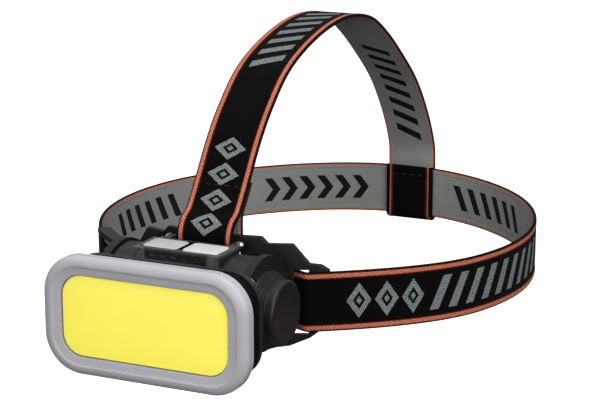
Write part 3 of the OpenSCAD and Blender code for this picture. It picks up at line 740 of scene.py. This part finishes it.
def strap_route(web):
    """The top strap's route across Y and Z: the sewn end, the loop through the plate's slot, the
    arch, and the wrap under the back of the band."""
    half_l, half_w, high = web.half_length / MM, web.half_width / MM, web.arch / MM
    w, t = web.width / MM / 2, web.thickness / MM
    gap, plate_in = 0.3, PLATE_IN / MM
    plate_top, plate_y = w + 13.5, PLATE_OUT / MM - half_l
    slot_z = plate_top - 5.5
    cut = half_l * math.sqrt(1 - (w / half_w) ** 2)
    behind, ahead = -cut + plate_in + gap + t / 2, plate_y - gap - t / 2
    out, inn = half_l + gap + t / 2, cut - t - gap - t / 2
    mid, turn, lap = (out + inn) / 2, (out - inn) / 2, t + gap
    shares = [
        [-0.95, 0.356], [-0.869, 0.474], [-0.785, 0.598], [-0.685, 0.712], [-0.535, 0.838],
        [-0.357, 0.92], [-0.131, 0.981], [0.075, 1], [0.272, 0.972], [0.423, 0.895],
        [0.593, 0.769], [0.791, 0.596], [0.93, 0.413],
    ]
    arch = np.array(shares) * [half_l, high]
    first = arch[1] - arch[0]
    inward = np.array([first[1], -first[0]]) / np.linalg.norm(first)
    front = [
        arch[0] + 0.95 * first + lap * inward,
        arch[0] + 0.4 * first + lap * inward,
        [behind + 0.3, plate_top + 8.5],
        [behind, plate_top + 2],
        [behind, slot_z + 3],
        [behind - 0.4, slot_z + 1.2],
        [behind - 1.8, slot_z + 0.2],
        [ahead + 1, slot_z],
        [ahead - 1.4, slot_z + 0.6],
        [ahead - 3, slot_z + 2.4],
        [ahead - 3.6, plate_top - 0.5],
        [ahead - 2.8, plate_top + 3.4],
        [ahead - 0.2, plate_top + 7],
    ]
    under = np.radians(np.arange(0, 181, 30))
    bend = np.stack([mid + turn * np.cos(under), 1.5 - w - 1.8 * np.sin(under)], 1)
    rear = [[out - 0.6, w + 13], [out, w + 3], [out, 0], [out, 4.6 - w], [out, 3 - w]]
    back_up = [[inn, 3 - w], [inn, 4.6 - w], [inn, 0], [inn, w + 1.6]]
    route = smooth_route(np.vstack([front, arch, rear, bend, back_up]), 8) * MM
    seams = (
        (arch[0] + 0.7 * first + lap * inward / 2, inward, lap),
        (np.array([mid, w - 3]), np.array([-1.0, 0.0]), 2 * turn),
    )
    return np.stack([0 * route[:, 0], route[:, 0], route[:, 1]], 1), seams


class HEADLAMP_OT_top_strap(bpy.types.Operator):
    """Weaves the top strap over the head and sews its two folded ends."""

    bl_idname = "headlamp.top_strap"
    bl_label = "Top Strap"

    def execute(self, context):
        web = context.scene.headlamp_webbing
        route, seams = strap_route(web)
        spacing = 0.0011
        route = even_route(route, spacing)
        # The soft strap drifts a little to each side along its length.
        along = np.arange(len(route)) * spacing
        drift = 0.0
        for shift, at in ((1.2 * MM, 0.19), (1.5 * MM, 0.29)):
            route[:, 0] += shift * ease((along - at) / 0.08)
            drift += shift
        route[:, 0] -= 0.9 * MM * hump(along, 0.15, 0.09)
        woven = [
            ("lozenges", 0.0405, 0.0865, 0.0115, 0.0072),
            ("slants", 0.124, 0.192, 0.0095, 0.0066),
        ]
        printed = [("slants", 0.244, 0.320, 0.0092, 0.0060)]
        finish = webbing_finish("strap_webbing", web, woven, printed, plain=(0.362, 0.41))
        strap, run = webbing_piece(
            "strap_webbing", route, (1, 0, 0), web.width, web.thickness,
            False, -1, 0.0, finish,
        )
        place(strap, "headset", "webbing", "top_strap")
        rows = []
        for (centre, through, apart), shift in zip(seams, (0, drift)):
            reach = 9.8 * MM
            x = np.linspace(-reach, reach, 180)
            wave = np.clip(np.sin(x / reach * math.pi * 4.5) * 3, -1, 1)
            x = x + shift
            reach = wave * (apart * MM / 2 + web.thickness / 2 + 0.0001)
            y = centre[0] * MM + reach * through[0]
            z = centre[1] * MM + reach * through[1]
            rows.append(np.stack([x, y, z], 1))
        paint = Paint("sewing_thread", 0.7, Specular_IOR_Level=0.3)
        twist = paint.noise(2600, 2)
        paint.set("Base Color", paint.tones(twist, linear(24, 23, 23), 0.6, 2.2))
        paint.bump(twist, 0.00005)
        thread = tube_piece("sewing_thread", rows, 0.00032, paint.material)
        place(thread, "headset", "thread", "strap_stitches")
        return {"FINISHED"}


class HEADLAMP_OT_forehead_pad(bpy.types.Operator):
    """Forms the foam pad that lies behind the bracket plate and holds the band against it."""

    bl_idname = "headlamp.forehead_pad"
    bl_label = "Forehead Pad"

    def execute(self, context):
        web = context.scene.headlamp_webbing
        face, foot, inner = 9.8 * MM, 4.6 * MM, 7.0 * MM
        top, step = 16.7 * MM, 12.9 * MM
        outline = np.array(
            [
                [top, foot], [top, face - 0.2 * MM], [-top, face - 0.2 * MM], [-top, foot],
                [-step, foot], [-step, inner], [step, inner], [step, foot],
            ]
        )
        section = rounded_corners(outline, np.array([0.8, 2.6, 2.6, 0.8, 0.6, 0.5, 0.5, 0.6]) * MM, 6)
        section = even_route(np.vstack([section, section[:1]]), 0.0006)[:-1]
        # The back swells between two sewn channels and an edge seam.
        z, depth = section[:, 0], section[:, 1]
        swell = np.clip((depth - inner) / (face - inner), 0, 1) ** 2
        edge = np.clip((top - np.abs(z)) / (4 * MM), 0, 1)
        channel = np.exp(-(((np.abs(z) - 5.2 * MM) / (0.8 * MM)) ** 2))
        section = np.stack([z, depth + swell * (0.5 * MM * edge ** 0.5 - 1.0 * MM * channel)], 1)
        middle = np.array([0, (inner + face) / 2])
        t = np.linspace(-1, 1, 121)
        angle = math.radians(17.6) * t
        close = np.clip((1 - np.abs(t)) / 0.06, 0, 1)
        size = 0.82 + 0.18 * np.sqrt(1 - (1 - close) ** 2)
        rings = []
        for a, s in zip(angle, size):
            ring = section.copy()
            ring[:, 1] = np.maximum(middle[1] + (ring[:, 1] - middle[1]) * s, foot)
            ring[:, 0] = ring[:, 0] * (0.9 + 0.1 * s)
            flat = loop_points(np.full(len(ring), a), ring[:, 1], web.half_width, web.half_length)
            flat[:, 2] = ring[:, 0]
            rings.append(flat)
        paint = Paint("pad_fabric", 0.95, Specular_IOR_Level=0.15, Sheen_Weight=0.25, Sheen_Roughness=0.6)
        knit = paint.cells(1100)
        paint.set("Base Color", paint.tones(knit, linear(44, 44, 46), 1.5, 0.55, 0, 0.7))
        paint.bump(knit.flip(), 0.0003, 0.7)
        pad = ring_piece("forehead_cushion", rings, paint.material)
        place(pad, "headset", "foam", "forehead_pad")
        return {"FINISHED"}


class HEADLAMP_OT_bracket(bpy.types.Operator):
    """Moulds the bracket that hugs the forehead and the slider on the band."""

    bl_idname = "headlamp.bracket"
    bl_label = "Bracket and Slider"

    def execute(self, context):
        rgb = context.scene.headlamp_finishes.bracket
        black = plastic("bracket_plastic", rgb, 0.42, wear_and_highlight=0.5, Specular_IOR_Level=0.4)
        bracket = moulded_copy("bracket", "bracket_moulding", black, 0.00045)
        place(bracket, "headset", "black_plastic", "bracket")
        slider = moulded_copy("band_slider", "slider_moulding", black, 0.0004)
        place(slider, "headset", "black_plastic", "band_slider")
        return {"FINISHED"}


class HEADLAMP_OT_bezel(bpy.types.Operator):
    """Turns the bezel's section round the lamp's face and fits the panel and lens in it."""

    bl_idname = "headlamp.bezel"
    bl_label = "Bezel, Panel and Lens"

    def execute(self, context):
        finishes = context.scene.headlamp_finishes
        half_w, _, half_h = (BEZEL_HI - BEZEL_LO) / 2
        front, back = BEZEL_LO[1], BEZEL_HI[1]
        radius = 16 * MM
        win_w, _, win_h = (PANEL_HI - PANEL_LO) / 2
        win_r = 9 * MM
        lens_y = front + 0.8 * MM

        def ring(inset, y):
            """Outline between the bezel's outer edge and the window, inset from 0 to 1."""
            return (
                half_w + (win_w - half_w) * inset,
                half_h + (win_h - half_h) * inset,
                radius + (win_r - radius) * inset,
                y,
            )

        bulge = np.linspace(0, np.pi / 2, 12)
        rows = [ring(0.04, back), ring(0.0, back - 0.3 * MM), ring(0.0, front + 3.0 * MM)]
        rows += [ring(0.50 * (1 - math.cos(a)), front + 2.6 * MM * (1 - math.sin(a))) for a in bulge]
        rows += [ring(0.53, front + 0.05 * MM), ring(0.55, front + 0.16 * MM)]
        for u in (0.2, 0.4, 0.6, 0.8, 1):
            rows.append(ring(0.55 + 0.41 * u, front + 0.16 * MM + 0.44 * MM * u**0.8))
        rows += [ring(0.985, front + 0.66 * MM), ring(1.0, front + 0.72 * MM), ring(1.0, lens_y)]
        grow = 1.5 * MM
        rows += inset_rows(win_w, win_h, win_r, (-grow, lens_y), (-grow, back))
        gloss = {"Specular_IOR_Level": 0.5, "Coat_Weight": 0.25, "Coat_Roughness": 0.22}
        paint = Paint("bezel_paint", 0.34, **gloss)
        rgb = finishes.bezel
        tone = paint.tones(paint.noise(5200, 1), rgb, 0.93, 1.06, 0.4, 0.62)
        cloud = paint.noise(60, 3).ramp(0, 0.35)
        paint.set("Base Color", paint.mix(cloud, tone, shade(rgb, 0.9)))
        paint.set("Roughness", paint.noise(300, 3).ramp(0.3, 0.42))
        paint.bump(paint.noise(900, 3), 0.000015)
        bezel = ring_piece(
            "bezel_ring", face_rings(rows, 16, 14), paint.material, closed=True, sharp=40
        )
        place(bezel, "lamp", "grey_plastic", "bezel_frame")

        # A faint painted glow: the phosphor's emission makes it brighter than the scene's lights alone
        # would. The painted shade at its edge does not glow.
        painted_glow_colour = (1.0, 0.87, 0.012, 1)
        glow = Paint("panel_phosphor", 0.55, Specular_IOR_Level=0.25, Emission_Color=painted_glow_colour)
        rgb = finishes.panel
        patch = glow.tones(glow.cells(330, Randomness=0.0), rgb, 1.0, 0.975, 0.1, 0.6)
        skin = glow.mix(glow.noise(35, 3).ramp(0, 1), patch, shade(rgb, 0.985))
        # Painted shade round the phosphor's edge, standing in for the shadow of the bezel's lip on the
        # panel: beyond its inner edge, a rounded rectangle's outline.
        x, _, z = glow.split(glow.here())
        middle_z = (PANEL_LO[2] + PANEL_HI[2]) / 2
        over_x = (x.abs() - (win_w - win_r)).apply("MAXIMUM", 0.0)
        over_z = ((z - middle_z).abs() - (win_h - win_r)).apply("MAXIMUM", 0.0)
        rim = (over_x * over_x + over_z * over_z).apply("SQRT").above(win_r - 0.42 * MM, 0.1 * MM)
        glow.set("Base Color", glow.mix(rim, skin, linear(30, 30, 28)))
        strength = 0.46
        glow.set("Emission Strength", rim * -strength + strength)
        glow.bump(glow.noise(700, 3), 0.00001)
        y0, y1 = PANEL_LO[1], PANEL_HI[1]
        soft = 0.3 * MM
        rows = [
            (win_w - 0.4 * win_w, win_h - 0.4 * win_h, win_r * 0.6, y0 + 0.02 * MM),
            *inset_rows(win_w, win_h, win_r, (2 * soft, y0 + 0.02 * MM)),
            (win_w - 0.3 * soft, win_h - 0.3 * soft, win_r, y0 + 0.12 * MM),
            *inset_rows(win_w, win_h, win_r, (0, y0 + soft), (0, y1), (2 * soft, y1)),
        ]
        panel = ring_piece("light_panel", face_rings(rows, 12, 10), glow.material, sharp=40)
        place(panel, "lamp", "phosphor", "cob_panel")

        clear = Paint("lens_clear", 0.08, Alpha=0.10, IOR=1.49, Specular_IOR_Level=0.5)
        clear.shader.inputs["Base Color"].default_value = (0.95, 0.96, 0.95, 1)
        clear.set("Roughness", clear.noise(240, 3).ramp(0.05, 0.14))
        lo, hi = (np.array(p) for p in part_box("lens_cover"))
        lw, _, lh = (hi - lo) / 2
        edge, back = 0.3 * MM, hi[1] - 0.02 * MM
        steps = ((edge, lo[1]), (0, lo[1] + 0.25 * MM), (0, back), (edge, back))
        rows = inset_rows(lw, lh, 10.5 * MM, *steps)
        lens = ring_piece("lens_window", face_rings(rows, 12, 10), clear.material, sharp=40)
        place(lens, "lamp", "clear_lens", "lens_cover")
        return {"FINISHED"}


class HEADLAMP_OT_housing(bpy.types.Operator):
    """Moulds the lamp's front and rear housings, the clip frame and the port cover."""

    bl_idname = "headlamp.housing"
    bl_label = "Housings"

    def execute(self, context):
        finishes = context.scene.headlamp_finishes
        black = plastic("housing_plastic", finishes.housing, 0.36, wear_and_highlight=0.6, Specular_IOR_Level=0.5)
        # The front shell is painted almost black, darker than the housing's own plastic, as painted shade
        # for the gap behind the bezel.
        shade_black_plastic = plastic("shell_plastic", linear(5, 5, 5), 0.55, wear_and_highlight=0.2, Specular_IOR_Level=0.1)
        shell = moulded_copy("front_housing", "front_shell", shade_black_plastic, 0.0006)
        place(shell, "lamp", "housing_plastic", "front_housing")
        rear = moulded_copy("rear_housing", "rear_shell", black, 0.0005)
        place(rear, "lamp", "housing_plastic", "rear_housing")
        clip = plastic("clip_plastic", finishes.clip, 0.4, wear_and_highlight=0.4)
        piece = moulded_copy("button_frame", "clip_frame", clip, 0.00022, 2)
        place(piece, "lamp", "frame_plastic", "button_frame")
        rubber = plastic("port_rubber", linear(22, 22, 22), 0.62, grain=2400, Specular_IOR_Level=0.3)
        flap = moulded_copy("usb_cover", "port_flap_moulding", rubber, 0.0003)
        place(flap, "port_flap", "rubber_black", "usb_cover")
        return {"FINISHED"}


CAP_END, CAP_START = CAP_HI[0] / MM, CAP_LO[0] / MM
CAP_SHOULDER = CAP_END - 8.2


def cap_profile(inner):
    """Half section of an end cap, x from the tube outwards and radius, in metres: a ribbed shoulder
    that narrows in steps, a rounded rim, a slightly dished face and the inner points, in mm."""
    wide, narrow, rib, ribs = 15.6, 13.0, 1.1, 4
    rows = [(CAP_SHOULDER, wide - 0.9), (CAP_SHOULDER + 0.12, wide - 0.3)]
    for k in range(ribs):
        x, r = CAP_SHOULDER + k * rib, wide - k * (wide - narrow) / ribs
        rows += [
            (x + 0.2, r - 0.05), (x + 0.35, r), (x + 0.6, r - 0.02),
            (x + 0.78, r - 0.35), (x + 0.85, r - 0.72), (x + 1.0, r - 0.78),
        ]
    x = CAP_SHOULDER + ribs * rib
    rows += [(x + 0.1, narrow - 0.35), (x + 0.3, narrow - 0.05)]
    for a in np.linspace(0, np.pi / 2, 8):
        rows.append((CAP_END - 1.3 + 1.3 * math.sin(a), narrow - 1.5 * (1 - math.cos(a))))
    rows += [(CAP_END - 0.02, narrow - 1.9), (CAP_END - 0.18, narrow - 2.3)]
    rows += [(CAP_END - 0.2, narrow * 0.5), (CAP_END - 0.2, 0.4)]
    return np.array(rows[::-1] + inner) * MM


class HEADLAMP_OT_caps(bpy.types.Operator):
    """Turns the battery cap with its skirt, and the closed cap on the other end."""

    bl_idname = "headlamp.caps"
    bl_label = "End Caps"

    def execute(self, context):
        rgb = context.scene.headlamp_finishes.cap
        grey = plastic("cap_plastic", rgb, 0.36, wear_and_highlight=0.5, Specular_IOR_Level=0.4)
        x0, start, skirt, bore, seal = CAP_SHOULDER, CAP_START, 11.1, 9.7, 32.5
        groove, floor = skirt - 0.85, CAP_END - 1.8
        inner = [
            (x0, skirt), (seal + 0.85, skirt), (seal + 0.8, groove), (seal - 0.8, groove),
            (seal - 0.85, skirt), (start + 0.3, skirt), (start, skirt - 0.3), (start, bore + 0.2),
            (start + 0.2, bore), (floor, bore), (floor, 0.4),
        ]
        cap = ring_piece("battery_cap_turning", lathe_rings(cap_profile(inner)), grey, sharp=35)
        place(cap, "screw_cap", "housing_plastic", "battery_cap")
        plug = [(x0, 10), (x0 - 0.2, 9.6), (x0 - 3.3, 9.6), (x0 - 3.4, 9.2), (x0 - 3.4, 0.4)]
        profile = cap_profile(plug) * [-1, 1]
        closed = ring_piece("closed_cap_turning", lathe_rings(profile), grey, sharp=35)
        place(closed, "lamp", "housing_plastic", "left_end_cap")
        return {"FINISHED"}


class HEADLAMP_OT_buttons(bpy.types.Operator):
    """Moulds the two soft-edged push buttons."""

    bl_idname = "headlamp.buttons"
    bl_label = "Buttons"

    def execute(self, context):
        finishes = context.scene.headlamp_finishes
        rows = (
            ("power_key_pad", "power_button", "power_key", finishes.button, 1),
            ("mode_key_pad", "mode_button", "mode_key", finishes.mode, -1),
        )
        centre, half = (BUTTON_LO + BUTTON_HI) / 2, (BUTTON_HI - BUTTON_LO) / 2
        lip, edge, dish, corner = 0.5 * MM, 0.7 * MM, 0.25 * MM, 1.6 * MM
        base, top = BUTTON_LO[2], BUTTON_HI[2]
        w, h = half[0] - lip, half[1] - lip
        profile = [
            (half[0] - 0.1 * MM, half[1] - 0.1 * MM, 1.5 * MM, base),
            (half[0], half[1], corner, base + 0.1 * MM),
            (half[0], half[1], corner, base + 1.2 * MM),
            (w, h, corner, base + 1.3 * MM),
        ]
        for a in np.linspace(0, np.pi / 2, 7):
            inset, drop = edge * (1 - math.cos(a)), edge * (1 - math.sin(a))
            profile.append((w - inset, h - inset, corner, top - dish - drop))
        for u in 1 - np.linspace(0.1, 0.92, 8):
            profile.append(((w - edge) * u, (h - edge) * u, corner * u, top - dish * u**2))
        for name, node, body, rgb, side in rows:
            rings = []
            for a, b, r, z in profile:
                xy = round_rect(a, b, r, 6, 6)
                x, y = xy[:, 0] + side * centre[0], xy[:, 1] + centre[1]
                rings.append(np.stack([x, y, np.full(len(x), z)], 1))
            finish = plastic(name + "_plastic", rgb, 0.38, spread=0.02, grain=900, depth=0.00001)
            place(ring_piece(name, rings, finish, sharp=45), body, "button_plastic", node)
        return {"FINISHED"}


def give(material, *nodes):
    """Gives CAD nodes a finish."""
    for node in nodes:
        for slot in frame["nodes"][node].material_slots:
            slot.material = material


class HEADLAMP_OT_inner_parts(bpy.types.Operator):
    """Gives the parts that keep their CAD shape their finishes."""

    bl_idname = "headlamp.inner_parts"
    bl_label = "Inner Parts"

    def execute(self, context):
        metals = (
            ("housing_screws", "screw_steel", (0.62, 0.62, 0.64), 0.3),
            ("tilt_washers", "washer_steel", (0.55, 0.55, 0.57), 0.34),
            ("usb_port", "port_shell_steel", (0.6, 0.6, 0.62), 0.28),
            ("contact_spring", "spring_steel", (0.66, 0.66, 0.66), 0.26),
            ("frame_rivets", "rivet_steel", (0.9, 0.9, 0.91), 0.2),
            ("heat_sink", "sink_aluminium", (0.7, 0.71, 0.73), 0.4, (1, 1, 0.05)),
            ("cap_contact", "contact_brass", (0.75, 0.55, 0.22), 0.25),
        )
        for node, *look in metals:
            give(metal(*look), node)
        green = plastic("driver_resist", linear(24, 84, 48), 0.3, grain=600)
        give(plastic("light_board", linear(228, 228, 222), 0.45), "cob_board")
        give(green, "driver_board", "switch_board")
        give(plastic("chip_epoxy", linear(34, 34, 36), 0.5), "driver_parts", "button_switches")
        give(plastic("lead_sleeve", linear(170, 26, 24), 0.35), "led_leads")
        give(plastic("gasket_rubber", linear(20, 20, 20), 0.7), "bezel_gasket")
        give(plastic("seal_rubber", linear(140, 30, 24), 0.5), "cap_seal")
        give(plastic("cell_wrap", linear(30, 96, 168), 0.25, Coat_Weight=0.4), "battery_cell")
        give(plastic("pipe_acrylic", linear(70, 74, 76), 0.15, depth=0.000005), "indicator_lights")
        return {"FINISHED"}


# ---------------------------------------------------------------- stage


class HEADLAMP_OT_stage(bpy.types.Operator):
    """Sets the floor, the soft lights, the surroundings and the camera."""

    bl_idname = "headlamp.stage"
    bl_label = "Stage"

    def execute(self, context):
        settings = context.scene.headlamp_stage
        scene = context.scene
        scene.view_settings.view_transform = "Standard"
        floor_z = CAD_BOX[0][2] - settings.drop
        mesh = bpy.data.meshes.new("floor")
        size = 6.0
        turns = ((-1, -1), (1, -1), (1, 1), (-1, 1))
        corners = [(x * size, y * size, floor_z) for x, y in turns]
        mesh.from_pydata(corners, [], [(0, 1, 2, 3)])
        floor = link("floor", mesh)
        white = (1, 1, 1, 1)
        paint = Paint(
            "floor_paper", 0.9, Specular_IOR_Level=0.1, Emission_Strength=0.8, Emission_Color=white
        )
        paint.set("Base Color", paint.mix(paint.noise(3, 2), (0.93, 0.93, 0.93), (0.95, 0.95, 0.95)))
        mesh.materials.append(paint.material)
        floor.visible_diffuse = floor.visible_glossy = False

        world = bpy.data.worlds.new("surroundings")
        scene.world = world
        world.use_nodes = True
        tree = world.node_tree
        background = tree.nodes["Background"]
        background.inputs["Color"].default_value = white
        # The camera sees plain white. The model is lit by a sky that is dimmer towards the ground.
        path = tree.nodes.new("ShaderNodeLightPath")
        where = tree.nodes.new("ShaderNodeTexCoord")
        split = tree.nodes.new("ShaderNodeSeparateXYZ")
        tree.links.new(where.outputs["Generated"], split.inputs["Vector"])
        height = Field(tree, split.outputs["Z"])
        glow = height.above(0.4, 1.2) * (settings.sky - settings.ground) + settings.ground
        strength = glow.either(Field(tree, path.outputs["Is Camera Ray"]))
        tree.links.new(strength.socket, background.inputs["Strength"])

        aim = Vector((0, -0.06, 0.02))
        lights = (
            ("key_light", (0.3, -0.42, 1.0), 0.6, settings.key),
            ("fill_light", (0.95, -0.65, 0.45), 0.7, settings.fill),
            ("front_light", (0.2, -1.25, 0.25), 0.5, settings.front),
        )
        for name, at, width, power in lights:
            data = bpy.data.lights.new(name, "AREA")
            data.shape, data.size, data.energy = "SQUARE", width, power
            lamp = link(name, data)
            lamp.location = at
            lamp.rotation_euler = (aim - Vector(at)).to_track_quat("-Z", "Y").to_euler()

        data = bpy.data.cameras.new("camera")
        camera = link("camera", data)
        eye = (0.33705690, -0.72768392, 0.21042482)
        forward = Vector((-0.4182, 0.8775, -0.2347)).normalized()
        right = forward.cross(Vector((0, 0, 1))).normalized()
        up = right.cross(forward)
        turn = Matrix((right, up, -forward)).transposed().to_4x4()
        camera.matrix_world = Matrix.Translation(eye) @ turn
        data.sensor_width = 36.0
        data.lens = settings.lens
        data.clip_start, data.clip_end = 0.01, 50
        scene.camera = camera
        return {"FINISHED"}


STEPS = (
    HEADLAMP_OT_stage,
    HEADLAMP_OT_bracket,
    HEADLAMP_OT_head_band,
    HEADLAMP_OT_top_strap,
    HEADLAMP_OT_forehead_pad,
    HEADLAMP_OT_bezel,
    HEADLAMP_OT_housing,
    HEADLAMP_OT_caps,
    HEADLAMP_OT_buttons,
    HEADLAMP_OT_inner_parts,
)


class HEADLAMP_PT_sidebar(bpy.types.Panel):
    """Lists the headlamp's steps."""

    bl_idname = "HEADLAMP_PT_sidebar"
    bl_label = "Headlamp"
    bl_space_type = "VIEW_3D"
    bl_region_type = "UI"
    bl_category = "Headlamp"

    def draw(self, context):
        for step in STEPS:
            self.layout.operator(step.bl_idname)
        for group in ("headlamp_webbing", "headlamp_finishes", "headlamp_stage"):
            settings = getattr(context.scene, group)
            for key in settings.bl_rna.properties.keys():
                if key not in ("rna_type", "name"):
                    self.layout.prop(settings, key)


CLASSES = (HeadlampWebbing, HeadlampFinishes, HeadlampStage, *STEPS, HEADLAMP_PT_sidebar)


def register():
    """Registers the settings, steps and panel."""
    for made in CLASSES:
        bpy.utils.register_class(made)
    bpy.types.Scene.headlamp_webbing = PointerProperty(type=HeadlampWebbing)
    bpy.types.Scene.headlamp_finishes = PointerProperty(type=HeadlampFinishes)
    bpy.types.Scene.headlamp_stage = PointerProperty(type=HeadlampStage)


def unregister():
    """Takes them away again."""
    del bpy.types.Scene.headlamp_stage
    del bpy.types.Scene.headlamp_finishes
    del bpy.types.Scene.headlamp_webbing
    for made in reversed(CLASSES):
        bpy.utils.unregister_class(made)


def main():
    register()
    for step in STEPS:
        group, name = step.bl_idname.split(".")
        getattr(getattr(bpy.ops, group), name)()


if __name__ == "__main__":
    main()
